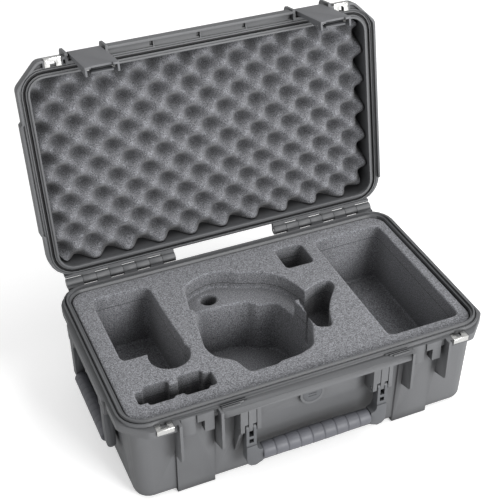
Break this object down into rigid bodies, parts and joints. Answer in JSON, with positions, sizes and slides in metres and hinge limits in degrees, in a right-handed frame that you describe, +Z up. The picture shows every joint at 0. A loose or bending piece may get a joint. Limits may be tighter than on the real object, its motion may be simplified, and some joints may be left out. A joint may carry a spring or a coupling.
{
  "type": "drone carrying case",
  "caption": "Hard-shell carrying case for a drone, standing open, with sculpted foam in its deep base, egg-crate foam in its hinged lid, two latches and two folding handles.",
  "frame": {"origin": "middle of the base's underside, on the floor", "axes": "+X along the case's length towards the end without a handle, +Y from the front towards the hinges, +Z up"},
  "size_m": [0.5604, 0.4634, 0.5095],
  "materials": {
    "shell": "moulded, fine texture",
    "latch_plastic": "moulded, fine texture",
    "dark_plastic": "moulded, satin",
    "grip_rubber": "matt, ribbed",
    "seal_rubber": "matt",
    "foam": "open-cell foam, matt",
    "steel": "bright, smooth"
  },
  "bodies": {
    "base": {"base_shell": "shell", "foam_top_layer": "foam", "foam_core": "foam", "foam_base_pad": "foam", "hinge_pin_left": "steel", "hinge_pin_right": "steel", "padlock_plate_base_left": "steel", "padlock_plate_base_right": "steel", "front_handle_pin_left": "steel", "front_handle_pin_right": "steel", "end_handle_pin_front": "steel", "end_handle_pin_rear": "steel", "pressure_valve_body": "dark_plastic", "pressure_valve_cap": "dark_plastic"},
    "lid": {"lid_shell": "shell", "lid_gasket": "seal_rubber", "lid_foam": "foam", "padlock_plate_lid_left": "steel", "padlock_plate_lid_right": "steel", "latch_pin_left": "steel", "latch_pin_right": "steel"},
    "front_handle": {"front_handle_frame": "dark_plastic", "front_handle_grip": "grip_rubber"},
    "end_handle": {"end_handle_frame": "dark_plastic", "end_handle_grip": "grip_rubber"},
    "latch_left": {"latch_body_left": "latch_plastic", "trigger_pin_left": "steel", "trigger_spring_left": "steel"},
    "trigger_left": {"latch_trigger_left": "dark_plastic"},
    "latch_right": {"latch_body_right": "latch_plastic", "trigger_pin_right": "steel", "trigger_spring_right": "steel"},
    "trigger_right": {"latch_trigger_right": "dark_plastic"}
  },
  "joints": [
    {"name": "lid_hinge", "type": "hinge", "parent": "base", "child": "lid", "pos_m": [0, 0.17, 0.158], "axis": [1, 0, 0], "range_deg": [0, 100.8]},
    {"name": "latch_pivot_left", "type": "hinge", "parent": "lid", "child": "latch_left", "pos_m": [-0.1725, 0.24306, 0.48765], "axis": [-1, 0, 0], "range_deg": [0, 100]},
    {"name": "trigger_press_left", "type": "hinge", "parent": "latch_left", "child": "trigger_left", "pos_m": [-0.1725, 0.16303, 0.50037], "axis": [1, 0, 0], "range_deg": [0, 12], "stiffness_Nm_per_rad": 0.05},
    {"name": "latch_pivot_right", "type": "hinge", "parent": "lid", "child": "latch_right", "pos_m": [0.1725, 0.24306, 0.48765], "axis": [-1, 0, 0], "range_deg": [0, 100]},
    {"name": "trigger_press_right", "type": "hinge", "parent": "latch_right", "child": "trigger_right", "pos_m": [0.1725, 0.16303, 0.50037], "axis": [1, 0, 0], "range_deg": [0, 12], "stiffness_Nm_per_rad": 0.05},
    {"name": "front_handle_fold", "type": "hinge", "parent": "base", "child": "front_handle", "pos_m": [-0.003, -0.1675, 0.106], "axis": [-1, 0, 0], "range_deg": [0, 95]},
    {"name": "end_handle_fold", "type": "hinge", "parent": "base", "child": "end_handle", "pos_m": [-0.273, 0, 0.132], "axis": [0, 1, 0], "range_deg": [0, 95]}
  ]
}
